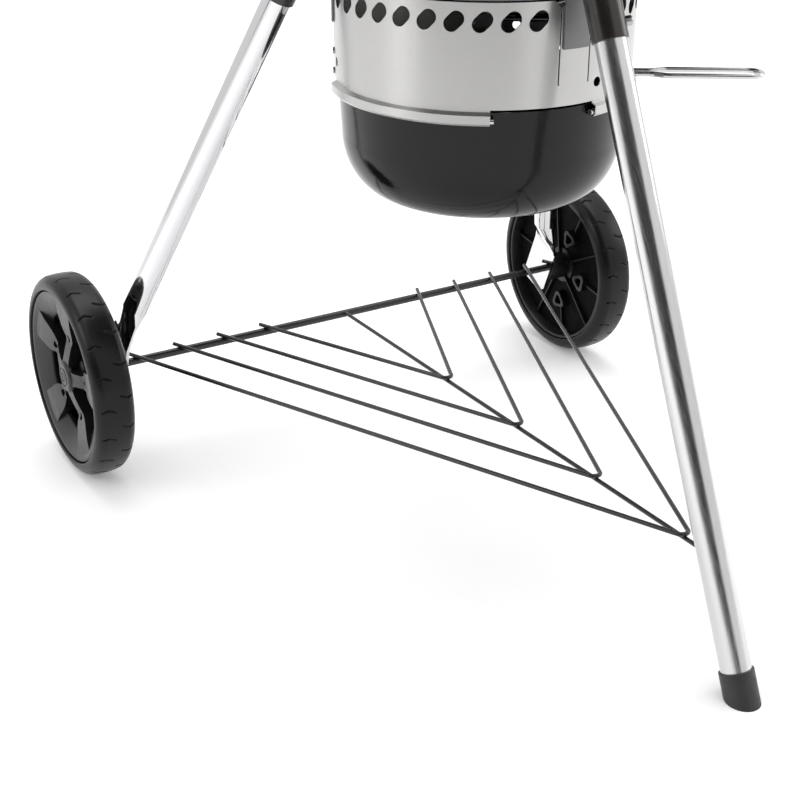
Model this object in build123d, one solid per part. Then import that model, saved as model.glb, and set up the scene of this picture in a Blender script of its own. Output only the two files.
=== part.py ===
from build123d import *
from math import acos, atan2, cos, degrees, radians, sin, sqrt
import os

# Kettle charcoal grill: an enamelled bowl and lid on a tripod of two wheeled legs
# and one footed leg, with a wire rack, a vent-blade cleaner and a twist-off ash pot.
# Millimetres, +Z up.  The model is built about the bowl's vertical axis and then
# moved as a whole so that the origin is the middle of its footprint on the ground.
# The axle runs along X and the footed leg stands towards -Y.

# ---------------------------------------------------------------- driving sizes
RUN = 0.05             # radial clearance of a shaft that turns in a bore
GAP = 0.3              # clearance between pieces that sit beside each other
SEAT = 0.2             # clearance between a piece and the curved wall it is fixed to

bowl_radius = 286.0    # outside, at the rim
bowl_depth = 240.0     # rim down to the outside of the bottom
bowl_wall = 1.2
bowl_bottom_z = 478.0
rim_bead_radius = 3.5  # rolled rim

lid_height = 214.0     # dome above its shoulder
lid_wall = 1.2
lid_skirt_depth = 12.0
crown_flat = 0.5            # degrees of the dome's arc left flat at the crown

leg_radius = 12.7
leg_wall = 1.2
front_foot_reach = 385.5    # bowl axis to the leg's axis, on the ground
front_leg_slope = 0.45      # radius lost per unit of height
axle_z = 102.0
axle_back = 253.0           # bowl axis to axle, along +Y
axle_radius = 4.0
rear_leg_foot_x = 272.0     # where a rear leg meets the axle
rear_leg_head_x = 99.8      # where its axis would be at rear_leg_head_z
rear_leg_head_y = 57.9
rear_leg_head_z = 600.0
leg_plate_thickness = 3.0
leg_plate_width = 40.0
leg_plate_inset = 11.2      # leg's axis to its plate, towards the middle of the grill
leg_plate_reach = 36.0      # axle to the top of the flat plate
leg_plate_toe = 20.0        # axle to the plate's cut end
leg_plate_corner = 7.0
leg_flatten_length = 42.0   # round tube to flat plate

socket_wall = 1.5
socket_end_z = 478.0        # height of a socket's open end, on the leg's axis
button_radius = 4.0
button_travel = 3.0
button_proud = 5.0
button_rise = 12.0          # socket end to button, along the leg
button_edge = 1.8           # rounding of its head
button_flange = 5.5         # length kept inside the leg when pressed
socket_length = 120.0       # longer than the way up to the bowl

foot_cap_wall = 1.6
foot_cap_length = 23.0
foot_cap_sole = 8.0         # height of the middle of the leg's cut end

wheel_radius = 101.6
wheel_width = 40.0
wheel_centre_x = 301.0
tyre_depth = 14.0           # tread to the seat on the rim
tyre_shoulder = 5.0
rim_inset = 2.0             # rim's side behind the tyre's side
rim_band = 4.0
web_thickness = 8.0
web_offset = 2.0            # middle of the web, outwards of the wheel's middle
pocket_floor = 3.0          # skin left behind the pockets between the spokes
window_inner_radius = 24.0
window_outer_margin = 5.0   # window to the rim band
window_angle = 44.0         # at its outer edge
window_taper = 13.0         # degrees lost each side towards the hub
spoke_count = 5
spoke_first_angle = -8.0    # in the wheel's own frame
spoke_width = 14.0
spoke_thickness = 10.0
spoke_offset = 5.5          # middle of a spoke, outwards of the wheel's middle
hub_radius = 15.0
hub_inner_x = 268.0         # inner end of the hub barrel
hub_cap_radius = 17.0
hub_cap_height = 8.0
hub_cap_edge = 2.0
hub_setback = 8.0           # tyre's outer face to the hub's outer end
nut_radius = 9.0
nut_thickness = 2.0
axle_past_hub = 4.0
axle_chamfer = 0.5

rack_wire_radius = 2.0
rack_first_x = 95.15        # where the innermost wire crosses the axle
rack_pitch_x = 49.3
rack_apex_y = [35.2, -83.7, -199.8, -313.3]
rack_rise = 0.0048          # climb towards the front leg, per unit of length
rack_overhang = 7.0         # wire end behind the axle
rack_bend = 6.0             # bend radius at a wire's point

ring_radius = 128.1         # outside of the ash ring's wall
ring_wall = 1.0
ring_lip_radius = 132.4
ring_lip_top_z = 417.5
ring_lip_bottom_z = 406.8
ring_gap_edge_z = 419.0     # lower edge of the wall where the lip is cut away
ring_hole_z = 488.0
ring_hole_count = 36
ring_hole_width = 12.5
ring_hole_length = 18.0
ring_gap_centre = 19.0      # degrees, first of three
ring_gap_angle = 41.0
ring_slit_angle = 6.6       # degrees each side of a leg
ring_slit_bottom_z = 436.0
ring_slit_width = 1.2
ring_slit_mouth = 9.0       # side of the square notch at the top of a slit
ring_peg_angle = 11.5       # degrees from a leg to the round hole beside it
ring_peg_rise = 15.0
ring_peg_radius = 4.0
ring_lip_bevel = 2.0
ring_lip_inner_gap = 1.2    # pot's wall to the turned-in edge of the lip
rivet_angle = 154.0
rivet_rises = (4.0, 21.0)   # above the lip gap's edge
rivet_radius = 1.5
rivet_head_radius = 2.8
rivet_head = 1.2
bead_wire_radius = 2.4
bead_wire_overhang = 1.3    # degrees past each end of the lip

bracket_thickness = 1.6
bracket_half_angle = 5.4
bracket_bottom_z = 464.5

pot_radius = 125.3
pot_floor_radius = 122.6    # radius where the wall turns into the bottom
pot_wall = 1.0
pot_rim_z = 416.3
pot_knee_z = 370.6
pot_bottom_z = 314.6
pot_corner = 45.0
pot_dome = 3.0
pot_lug_angle = 24.0
pot_lug_thickness = 1.4
pot_lug_radius = 130.6
pot_twist = 34.0            # degrees from locked to released

lever_angle = -33.0         # degrees, where the lever stands
lever_z = 420.0
lever_wire_radius = 2.4
lever_end_radius = 243.0
lever_neck_half = 5.6
lever_loop_half = 11.6
lever_swing_back = 27.0     # degrees each way from where it stands
lever_swing_on = 33.0
lever_slot_under = 0.9      # clearance below the lever's wire
lever_slot_over = 4.0       # and above it
lever_slot_ends = 8.5       # degrees that the slot is longer than the swing
shaft_radius = 5.0
blade_reach = 106.0
blade_angle = 52.0
blade_thickness = 1.2
vent_inner_radius = 46.0
vent_outer_radius = 94.0
vent_width = 24.0

charcoal_grate_radius = 216.0
cooking_grate_margin = 19.0  # bowl's outside at the rim to the grate's edge
grate_wire_radius = 3.0
cooking_grate_drop = 28.0   # below the bowl's rim
charcoal_rod_count = 15
cooking_rod_pitch = 17.0
cooking_middle_bars = 8     # bars each side of the middle one
flap_hinge_gap = 10.6       # last bar of the fixed middle to the hinge rod
flap_hook_y = 110.0
flap_strap_width = 9.0
flap_strap_thickness = 2.4
hoop_overrun = 0.6          # degrees that a hoop runs past its last bar
bar_tuck = 0.8              # bar end short of the middle of the hoop's wire

handle_drop = 20.0          # below the bowl's rim
handle_half_span = 66.0
handle_reach = 52.0
handle_width = 14.0
handle_height = 22.0
lid_handle_half_span = 62.0
lid_handle_rise = 58.0

damper_radius = 36.0
damper_offset = 150.0       # from the lid's axis
damper_hole_radius = 8.0
damper_hole_offset = 21.0
dial_radius = 27.0
dial_offset = 178.0

# ---------------------------------------------------------------- worked-out values
bowl_rim_z = bowl_bottom_z + bowl_depth
lid_shoulder_z = bowl_rim_z + rim_bead_radius + SEAT
cooking_grate_radius = bowl_radius - cooking_grate_margin
lid_dome_radius = bowl_radius - 1.0
lid_skirt_radius = bowl_radius + rim_bead_radius + 1.0 + lid_wall
leg_angles = {"front": -90.0, "rear_right": 30.0, "rear_left": 150.0}
leg_bore = leg_radius - leg_wall
socket_bore = leg_radius + GAP
socket_radius = socket_bore + socket_wall
front_reach = front_foot_reach + (leg_radius + foot_cap_wall) * sqrt(1 + front_leg_slope ** 2)
rear_reach = axle_back + wheel_radius
centre_shift = (front_reach - rear_reach) / 2
cooking_grate_z = bowl_rim_z - cooking_grate_drop
flap_hinge_x = cooking_middle_bars * cooking_rod_pitch + flap_hinge_gap


def bowl_radius_at(z, inset=0.0):
    """Radius of the bowl's outside, or of an ellipse inset from it, at a height."""
    share = (bowl_rim_z - z) / (bowl_depth - inset)
    return (bowl_radius - inset) * sqrt(max(0.0, 1 - share ** 2))


def bowl_z_at(radius, inset=0.0):
    """Height of the bowl's outside, or of an ellipse inset from it, at a radius."""
    return bowl_rim_z - (bowl_depth - inset) * sqrt(1 - (radius / (bowl_radius - inset)) ** 2)


def lid_z_at(radius, inset=0.0):
    """Height of the lid's outside, or of an ellipse inset from it, at a radius."""
    share = radius / (lid_dome_radius - inset)
    return lid_shoulder_z + (lid_height - inset) * sqrt(1 - share ** 2)


def turned(points):
    """Solid of revolution about Z of an outline given as (radius, z) points."""
    return revolve(Plane.XZ * make_face(Polyline(points, close=True)), Axis.Z)


def tube_between(start, end, outer, inner=0.0):
    """Round bar or tube from one point to another."""
    axis = Vector(*end) - Vector(*start)
    section = Circle(outer)
    if inner:
        section -= Circle(inner)
    return extrude(Plane(origin=start, z_dir=axis) * section, axis.length)


def bent_wire(points, radii, wire_radius):
    """Round wire along straight runs joined by arcs."""
    path = FilletPolyline(*points, radius=radii)
    return sweep(Plane(origin=path @ 0, z_dir=path % 0) * Circle(wire_radius), path)


def joined(pieces):
    """One body from pieces that overlap, added one at a time."""
    body = pieces[0]
    for piece in pieces[1:]:
        body = body + piece
    return body


def group(pieces):
    """Several separate solids as one node."""
    return Compound([solid for piece in pieces for solid in piece.solids()])


def around(angle):
    """Turn about the bowl's axis."""
    return Rot(0, 0, angle)


def bowl_volume(clearance):
    """Everything inside the bowl's outside, grown by a clearance, up to the rim."""
    radius = bowl_radius + clearance
    depth = bowl_depth + clearance
    arc = EllipticalCenterArc((0, bowl_rim_z), radius, depth, 270)
    back = Polyline((radius, bowl_rim_z), (0, bowl_rim_z), (0, bowl_rim_z - depth))
    return revolve(Plane.XZ * make_face([arc, back]), Axis.Z)


# ---------------------------------------------------------------- bowl
def vent_cutter():
    """Three rounded slots through the bottom of the bowl."""
    middle = (vent_inner_radius + vent_outer_radius) / 2
    length = vent_outer_radius - vent_inner_radius
    slot = extrude(SlotOverall(length, vent_width), 60)
    first = lever_angle + lever_swing_on - 60
    return [around(first + i * 120) * Pos(middle, 0, bowl_bottom_z - 10) * slot for i in range(3)]


def make_bowl():
    """Enamelled bowl with a rolled rim, a shaft hole and three vents."""
    shell = bowl_volume(0) - bowl_volume(-bowl_wall)
    bead = Plane.XZ * Pos(bowl_radius, bowl_rim_z) * Circle(rim_bead_radius)
    shell += revolve(bead, Axis.Z)
    shell -= Pos(0, 0, bowl_bottom_z) * Cylinder(shaft_radius + RUN, 20)
    for slot in vent_cutter():
        shell -= slot
    return shell


def make_grate_tabs():
    """Four ledges welded inside the bowl for the cooking grate."""
    shelf_top = cooking_grate_z - grate_wire_radius - GAP
    inner = bowl_volume(-bowl_wall - SEAT)
    tabs = []
    for i in range(4):
        shelf = Pos(cooking_grate_radius + 4, 0, shelf_top - 1.5) * Box(36, 22, 3)
        web = Pos(cooking_grate_radius + 4, 0, shelf_top - 13) * Box(36, 3, 20)
        tabs.append(around(45 + 90 * i) * (shelf + web) & inner)
    return group(tabs)


# ---------------------------------------------------------------- legs
def front_leg_point(z):
    return Vector(0, -(front_foot_reach - front_leg_slope * z), z)


def rear_leg_point(z, side):
    share = (z - axle_z) / (rear_leg_head_z - axle_z)
    x = rear_leg_foot_x + (rear_leg_head_x - rear_leg_foot_x) * share
    y = axle_back + (rear_leg_head_y - axle_back) * share
    return Vector(side * x, y, z)


def leg_point(name, z):
    if name == "front":
        return front_leg_point(z)
    return rear_leg_point(z, 1 if name == "rear_right" else -1)


def leg_direction(name):
    return (leg_point(name, 100) - leg_point(name, 0)).normalized()


def socket_end(name):
    return leg_point(name, socket_end_z)


def button_axis(name):
    """Place and outward direction of a leg's snap button, square to the leg."""
    axis = leg_direction(name)
    spot = socket_end(name) + axis * button_rise
    level = Vector(cos(radians(leg_angles[name] + 60)), sin(radians(leg_angles[name] + 60)), 0)
    outward = (level - axis * level.dot(axis)).normalized()
    return spot, outward


def button_hole(name):
    spot, outward = button_axis(name)
    return tube_between(spot, spot + outward * 2 * socket_radius, button_radius + RUN)


def make_socket(name):
    """Tube welded to the bowl that the leg pushes into."""
    end = socket_end(name)
    far = end + leg_direction(name) * socket_length
    tube = tube_between(end, far, socket_radius, socket_bore) - bowl_volume(SEAT) - button_hole(name)
    return tube.solids().sort_by(Axis.Z)[0]


def leg_head(name):
    """Top end of a leg, short of the bowl all round."""
    axis = leg_direction(name)
    point = socket_end(name)
    while (point + axis * leg_radius).Z < bowl_z_at(Vector(point.X, point.Y, 0).length - leg_radius) - 6:
        point = point + axis
    return point


def make_button(name):
    """Snap button: a headed pin that springs out through the leg and the socket."""
    spot, outward = button_axis(name)
    start = spot + outward * (leg_bore - button_travel - button_flange)
    pin = tube_between(start, spot + outward * (socket_radius + button_proud), button_radius)
    return fillet(pin.edges().group_by(Axis((0, 0, 0), outward))[-1], button_edge)


def make_front_leg():
    foot = front_leg_point(foot_cap_sole)
    leg = tube_between(foot, leg_head("front"), leg_radius, leg_bore)
    rack_z = rack_height(-front_foot_reach) - 2 * rack_wire_radius
    spot = front_leg_point(rack_z)
    leg -= tube_between(spot, spot + Vector(0, 2 * leg_radius, 0), rack_wire_radius + GAP)
    return leg - button_hole("front")


def leg_plate_outline():
    """Flat end of a rear leg: local +X runs up the leg from the axle."""
    half = leg_plate_width / 2
    toe = -leg_plate_toe
    corner = leg_plate_corner
    return make_face(Polyline(
        (leg_plate_reach, half), (toe + corner, half), (toe, half - corner), (toe, corner - half),
        (toe + corner, -half), (leg_plate_reach, -half), close=True))


def make_rear_leg(name):
    """Round tube whose lower end is pressed into a flat plate on the axle."""
    side = 1 if name == "rear_right" else -1
    foot = rear_leg_point(axle_z, side)
    axle_point = foot - Vector(side * leg_plate_inset, 0, 0)
    axis = leg_direction(name)
    lean = Vector(0, axis.Y, axis.Z).normalized()
    across = Vector(1, 0, 0).cross(lean)
    tube_start = foot + axis * (leg_plate_reach + leg_flatten_length)
    tube = tube_between(tube_start, leg_head(name), leg_radius, leg_bore)
    plate_plane = Plane(origin=axle_point, x_dir=lean, z_dir=(1, 0, 0))
    plate = extrude(plate_plane * leg_plate_outline(), leg_plate_thickness / 2, both=True)
    flat_end = Plane(origin=axle_point + lean * leg_plate_reach, x_dir=across, z_dir=lean)
    round_end = Plane(origin=tube_start, x_dir=across, z_dir=axis)
    taper = loft([flat_end * Rectangle(leg_plate_width, leg_plate_thickness), round_end * Circle(leg_radius)])
    leg = tube + taper + plate
    leg -= Pos(*axle_point) * Rot(0, 90, 0) * Cylinder(axle_radius + RUN, 10 * leg_plate_thickness)
    return leg - button_hole(name)


def make_foot_cap():
    axis = leg_direction("front")
    start = front_leg_point(-20)
    top = front_leg_point(foot_cap_length)
    cap = tube_between(start, top, leg_radius + foot_cap_wall)
    cap = fillet(cap.edges().sort_by(Axis.Z)[-1], 0.6)
    cap -= tube_between(front_leg_point(foot_cap_sole - GAP), top + axis * 5, leg_radius + 0.1)
    return cap - Pos(0, -front_foot_reach, -50) * Box(100, 100, 100)


def make_ring_bracket(name):
    """Plate that hangs from the bowl beside a leg and holds a tongue of the ash ring."""
    inner = ring_radius + GAP
    band = Pos(0, 0, (bracket_bottom_z + bowl_rim_z) / 2) * Cylinder(
        inner + bracket_thickness, bowl_rim_z - bracket_bottom_z)
    band -= Pos(0, 0, bowl_rim_z - 200) * Cylinder(inner, 600)
    half_width = inner * sin(radians(bracket_half_angle))
    band = around(-leg_angles[name]) * band
    keep = Pos(inner, 0, bowl_bottom_z) * Box(20, 2 * half_width, 200)
    plate = (band & keep) - bowl_volume(SEAT)
    return around(leg_angles[name]) * plate.solids().sort_by(Axis.Z)[0]


# ---------------------------------------------------------------- wheels and axle
def make_axle():
    half = wheel_centre_x + wheel_width / 2 - hub_setback + axle_past_hub
    axle = Pos(0, axle_back, axle_z) * Rot(0, 90, 0) * Cylinder(axle_radius, 2 * half)
    return chamfer(axle.edges(), axle_chamfer)


def wheel_place(side):
    """Wheel's own frame: its axis is local +Z, pointing away from the grill."""
    return Pos(side * wheel_centre_x, axle_back, axle_z) * Rot(0, 90 * side, 0)


def make_tyre(side):
    half = wheel_width / 2
    seat = wheel_radius - tyre_depth
    bevel = rim_inset
    tyre = turned([
        (seat, bevel - half), (seat + bevel, -half), (wheel_radius - tyre_shoulder, -half),
        (wheel_radius, tyre_shoulder - half), (wheel_radius, half - tyre_shoulder),
        (wheel_radius - tyre_shoulder, half), (seat + bevel, half), (seat, half - bevel)])
    return wheel_place(side) * tyre


def wheel_window():
    """Outline of the pocket between two spokes, centred on local +X."""
    outer = wheel_radius - tyre_depth - SEAT - rim_band - window_outer_margin
    wide = radians(window_angle / 2)
    narrow = radians(window_angle / 2 - window_taper)
    corners = [(window_inner_radius, -narrow), (outer, -wide), (outer, wide), (window_inner_radius, narrow)]
    return make_face(Polyline([(radius * cos(angle), radius * sin(angle)) for radius, angle in corners],
                              close=True))


def make_rim(side):
    """Moulded wheel centre: hub barrel, web with pockets, spokes and rim band."""
    half = wheel_width / 2
    seat = wheel_radius - tyre_depth - SEAT
    bore = seat - rim_band
    rim_half = half - rim_inset
    rim = turned([(bore, -rim_half), (seat, -rim_half), (seat, rim_half), (bore, rim_half)])
    hub_in = hub_inner_x - wheel_centre_x
    hub_out = half - hub_setback
    rim += Pos(0, 0, (hub_in + hub_out) / 2) * Cylinder(hub_radius, hub_out - hub_in)
    web = Pos(0, 0, web_offset) * Cylinder(bore + rim_band / 2, web_thickness)
    window = Pos(0, 0, web_offset - web_thickness / 2 + pocket_floor) * extrude(wheel_window(), web_thickness)
    spoke_length = bore - hub_radius - rim_inset
    spoke = Pos((bore + hub_radius) / 2, 0, spoke_offset) * Box(spoke_length, spoke_width, spoke_thickness)
    step = 360 / spoke_count
    for i in range(spoke_count):
        web -= around(spoke_first_angle + (i + 0.5) * step) * window
    for i in range(spoke_count):
        web += around(spoke_first_angle + i * step) * spoke
    rim += web
    rim -= Cylinder(axle_radius + RUN, 4 * wheel_width)
    return wheel_place(side) * rim


def make_hub_cap(side):
    """Domed cap over the hub's end, with room inside for the push-on nut."""
    hub_end = wheel_width / 2 - hub_setback
    skirt = hub_cap_height / 8
    cap = Pos(0, 0, hub_end + hub_cap_height / 2 - skirt) * Cylinder(hub_cap_radius, hub_cap_height)
    cap = fillet(cap.edges().sort_by(Axis.Z)[-1], hub_cap_edge)
    cap -= Pos(0, 0, hub_end - 2 * skirt) * Cylinder(hub_radius + GAP, 4 * skirt + 2 * GAP)
    cap -= Pos(0, 0, hub_end + nut_thickness) * Cylinder(nut_radius + 1.5, 3 * nut_thickness)
    return wheel_place(side) * cap


def make_axle_nut(side):
    """Push-on retainer on the axle's end."""
    hub_end = wheel_width / 2 - hub_setback
    nut = Pos(0, 0, hub_end + GAP + nut_thickness / 2) * Cylinder(nut_radius, nut_thickness)
    nut -= Cylinder(axle_radius, 4 * wheel_width)
    return wheel_place(side) * nut


# ---------------------------------------------------------------- rack
def rack_height(y):
    return axle_z + axle_radius + rack_wire_radius + rack_rise * (axle_back - y)


def make_rack_wire(index):
    """One V of wire, hooked over the axle at both ends, pointing to the front leg."""
    cross_x = rack_first_x + rack_pitch_x * index
    apex_y = rack_apex_y[index]
    behind = rack_overhang / (axle_back - apex_y)
    end_x = cross_x * (1 + behind)
    end_y = axle_back + rack_overhang
    ends = [(side * end_x, end_y, rack_height(end_y)) for side in (-1, 1)]
    apex = (0, apex_y, rack_height(apex_y))
    return bent_wire([ends[0], apex, ends[1]], rack_bend, rack_wire_radius)


def make_rack_spine():
    """Straight wire under the points of the Vs, from the axle into the front leg."""
    back_y = axle_back - axle_radius - GAP
    drop = 2 * rack_wire_radius
    leg_y = -(front_foot_reach - front_leg_slope * rack_height(-front_foot_reach))
    front_y = leg_y + leg_bore - 2
    return tube_between((0, back_y, rack_height(back_y) - drop), (0, front_y, rack_height(front_y) - drop),
                        rack_wire_radius - RUN)


# ---------------------------------------------------------------- ash ring
def ring_sector(centre, angle, radius, low, high):
    """Wedge of a cylinder about the bowl's axis, for cutting and keeping."""
    half = radians(angle / 2)
    far = radius / cos(half)
    across = far * sin(half)
    wedge = Polyline((0, 0), (radius, -across), (radius, across), close=True)
    return around(centre) * Pos(0, 0, low) * extrude(make_face(wedge), high - low)


def ring_holes():
    """Slanted oblong holes round the top of the ring, left out beside the legs."""
    slot = extrude(SlotOverall(ring_hole_length, ring_hole_width), 20)
    holes = []
    for i in range(ring_hole_count):
        angle = -90 + 360 / ring_hole_count * (i + 0.5)
        to_leg = min(abs((angle - leg + 180) % 360 - 180) for leg in leg_angles.values())
        if to_leg < 10:
            continue
        place = around(angle) * Pos(ring_radius - 10, 0, ring_hole_z) * Rot(0, 90, 0) * Rot(0, 0, 135)
        holes.append(place * slot)
    return holes


def ring_bore(angle, z, radius):
    """Radial hole through the ring's wall."""
    return around(angle) * Pos(ring_radius, 0, z) * Rot(0, 90, 0) * Cylinder(radius, 10 * ring_wall)


def ring_slit(angle, top_z):
    """Slit from the ring's top edge down beside a leg, opened to a notch at its mouth."""
    depth = top_z - ring_slit_bottom_z
    through = 8 * ring_wall
    slit = Pos(ring_radius, 0, top_z - depth / 2) * Box(through, ring_slit_width, depth)
    mouth = Pos(ring_radius, 0, top_z) * Rot(45, 0, 0) * Box(through, ring_slit_mouth, ring_slit_mouth)
    return around(angle) * (slit + mouth)


def lever_slot():
    """Level slot that the lever swings in."""
    swing = lever_swing_back + lever_swing_on
    middle = lever_angle + (lever_swing_on - lever_swing_back) / 2
    low = lever_z - lever_wire_radius - lever_slot_under
    high = lever_z + lever_wire_radius + lever_slot_over
    return ring_sector(middle, swing + lever_slot_ends, 2 * ring_radius, low, high)


def make_ash_ring():
    """Sheet band under the bowl with a lip along its foot, cut away at three gaps."""
    inside = ring_radius - ring_wall
    top_z = bowl_z_at(inside) - SEAT
    lip_in = ring_lip_radius - ring_wall
    turn_in = pot_radius + ring_lip_inner_gap
    bevel = ring_lip_bevel
    step = ring_wall * 0.4
    ring = turned([
        (inside, top_z), (ring_radius, top_z), (ring_radius, ring_lip_top_z),
        (ring_lip_radius, ring_lip_top_z - bevel), (ring_lip_radius, ring_lip_bottom_z + bevel),
        (ring_lip_radius - bevel, ring_lip_bottom_z), (turn_in, ring_lip_bottom_z),
        (turn_in, ring_lip_bottom_z + ring_wall), (lip_in - bevel + step, ring_lip_bottom_z + ring_wall),
        (lip_in, ring_lip_bottom_z + bevel + step), (lip_in, ring_lip_top_z - bevel - 1.5 * step),
        (inside, ring_lip_top_z - 1.5 * step)])
    below = ring_lip_bottom_z - ring_lip_radius
    for i in range(3):
        centre = ring_gap_centre + 120 * i
        ring -= ring_sector(centre, ring_gap_angle, 2 * ring_radius, below, ring_gap_edge_z)
    for angle in leg_angles.values():
        for side in (-1, 1):
            ring -= ring_slit(angle + side * ring_slit_angle, top_z)
        ring -= ring_bore(angle + ring_peg_angle, ring_gap_edge_z + ring_peg_rise, ring_peg_radius)
    ring -= lever_slot()
    for hole in ring_holes():
        ring -= hole
    for rise in rivet_rises:
        ring -= ring_bore(rivet_angle, ring_gap_edge_z + rise, rivet_radius + RUN)
    return ring


def make_bead_wires():
    """Three stiffening wires lying in the channel of the lip, just proud of its ends."""
    centre_r = ring_lip_radius - ring_wall - bead_wire_radius - SEAT
    centre_z = ring_lip_bottom_z + ring_wall + bead_wire_radius + SEAT
    circle = Plane.XZ * Pos(centre_r, centre_z) * Circle(bead_wire_radius)
    length = 120 - ring_gap_angle + 2 * bead_wire_overhang
    start = ring_gap_centre + ring_gap_angle / 2 - bead_wire_overhang
    return group([around(start + 120 * i) * revolve(circle, Axis.Z, length) for i in range(3)])


def make_ring_rivets():
    """Two rivets through the seam of the ring."""
    rivets = []
    for rise in rivet_rises:
        z = ring_gap_edge_z + rise
        shank = Pos(ring_radius - rivet_radius, 0, z) * Rot(0, 90, 0) * Cylinder(rivet_radius, 4)
        head_x = ring_radius + RUN + rivet_head / 2
        head = Pos(head_x, 0, z) * Rot(0, 90, 0) * Cylinder(rivet_head_radius, rivet_head)
        rivets.append(around(rivet_angle) * (shank + head))
    return group(rivets)


# ---------------------------------------------------------------- ash pot
def pot_section(inset):
    """Half section of the pot as a filled outline, inset from its outside."""
    wall = pot_radius - inset
    floor = pot_floor_radius - inset
    low = pot_bottom_z + inset
    corner = EllipticalCenterArc((floor - pot_corner, pot_knee_z), pot_corner, pot_knee_z - low, 270)
    bottom = Line((0, low - pot_dome), (floor - pot_corner, low))
    side = Line((floor, pot_knee_z), (wall, pot_rim_z))
    top = Polyline((wall, pot_rim_z), (0, pot_rim_z), (0, low - pot_dome))
    return Plane.XZ * make_face([bottom, corner, side, top])


def make_ash_pot():
    pot = revolve(pot_section(0), Axis.Z) - revolve(pot_section(pot_wall), Axis.Z)
    lug_z = ring_lip_bottom_z + ring_wall + 2 * bead_wire_radius + 2 * SEAT + pot_lug_thickness / 2 + SEAT
    lugs = Pos(0, 0, lug_z) * (Cylinder(pot_lug_radius, pot_lug_thickness) - Cylinder(pot_radius - 0.6, 10))
    for i in range(3):
        centre = ring_gap_centre + 120 * i - pot_twist
        pot += lugs & ring_sector(centre, pot_lug_angle, 200, 380, 440)
    return pot


# ---------------------------------------------------------------- vent cleaner
def make_cleaning_lever():
    """Loop of wire from the shaft, down through the ring's slot, to a finger loop."""
    root_r = shaft_radius + 4
    root_z = bowl_bottom_z - 12
    neck = lever_neck_half
    loop = lever_loop_half
    end = lever_end_radius - lever_wire_radius
    half = [(root_r, neck, root_z), (78, neck, root_z), (100, neck, lever_z), (146, neck, lever_z),
            (158, loop, lever_z), (end, loop, lever_z)]
    other = [(x, -y, z) for x, y, z in reversed(half)]
    radii = [10, 10, 12, 12, loop - 0.5, loop - 0.5, 12, 12, 10, 10]
    return around(lever_angle) * bent_wire(half + other, radii, lever_wire_radius)


def make_lever_shaft():
    """Upright shaft through the bottom of the bowl, with the block that holds the lever."""
    block_z = bowl_bottom_z - 12
    top_z = bowl_bottom_z + bowl_wall + 9
    shaft = Pos(0, 0, (block_z + top_z) / 2) * Cylinder(shaft_radius, top_z - block_z)
    block = Pos(4, 0, block_z) * Box(24, 4 * lever_neck_half, 9)
    block += Pos(0, 0, block_z) * Cylinder(2 * lever_neck_half, 9)
    for side in (-1, 1):
        block -= Pos(12 + shaft_radius, side * lever_neck_half, block_z) * Rot(0, 90, 0) * Cylinder(
            lever_wire_radius + RUN, 17)
    collar = Pos(0, 0, bowl_bottom_z - 3.5) * Cylinder(11, 3)
    return around(lever_angle) * (shaft + block + collar)


def blade_band():
    """Shell just inside the bowl's wall, as thick as a blade, out to the blade tips."""
    low = bowl_wall + GAP
    band = bowl_volume(-low) - bowl_volume(-low - blade_thickness)
    return band & Pos(0, 0, bowl_bottom_z) * Cylinder(blade_reach, 200)


def make_sweeper_blades():
    """Three curved blades on a hub, lying on the inside of the bowl's bottom."""
    band = blade_band()
    blades = band & Cylinder(24, 4 * bowl_bottom_z)
    for i in range(3):
        blades += band & ring_sector(lever_angle - 60 - lever_swing_back + i * 120, blade_angle, 200,
                                     bowl_bottom_z - 20, bowl_rim_z)
    return blades - Pos(0, 0, bowl_bottom_z) * Cylinder(shaft_radius + RUN, 100)


def make_shaft_nut():
    low = bowl_bottom_z + bowl_wall + GAP + blade_thickness + GAP
    nut = Pos(0, 0, low + 2.5) * extrude(RegularPolygon(9, 6), 2.5, both=True)
    return around(lever_angle) * (nut - Pos(0, 0, low) * Cylinder(shaft_radius, 40))


# ---------------------------------------------------------------- grates
def rod(start, end):
    return tube_between(start, end, grate_wire_radius)


def hoop(radius, z, start=0.0, length=360.0):
    """Ring of grate wire, or the arc of it that begins at an angle."""
    section = Plane.XZ * Pos(radius, z) * Circle(grate_wire_radius)
    return around(start) * revolve(section, Axis.Z, length)


def make_charcoal_grate():
    """Round hoop with parallel bars across its top and two bars under them."""
    centre_r = charcoal_grate_radius - grate_wire_radius
    slope = (bowl_z_at(centre_r + 1, bowl_wall) - bowl_z_at(centre_r - 1, bowl_wall)) / 2
    hoop_z = bowl_z_at(centre_r, bowl_wall) + (grate_wire_radius + GAP) * sqrt(1 + slope ** 2)
    bar_z = hoop_z + 1.6 * grate_wire_radius
    grate = hoop(centre_r, hoop_z)
    pitch = 2 * centre_r / (charcoal_rod_count + 1)
    bars = []
    for i in range(charcoal_rod_count):
        x = -centre_r + pitch * (i + 1)
        half = sqrt(centre_r ** 2 - x ** 2) - bar_tuck
        bars.append(rod((x, -half, bar_z), (x, half, bar_z)))
    for y in (-0.5 * centre_r, 0.5 * centre_r):
        half = sqrt(centre_r ** 2 - y ** 2) - bar_tuck
        under = bar_z - 1.8 * grate_wire_radius
        bars.append(rod((-half, y, under), (half, y, under)))
    return joined([grate] + bars)


def cooking_rod_half(x):
    centre_r = cooking_grate_radius - grate_wire_radius
    return sqrt(centre_r ** 2 - x ** 2) - bar_tuck


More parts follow.
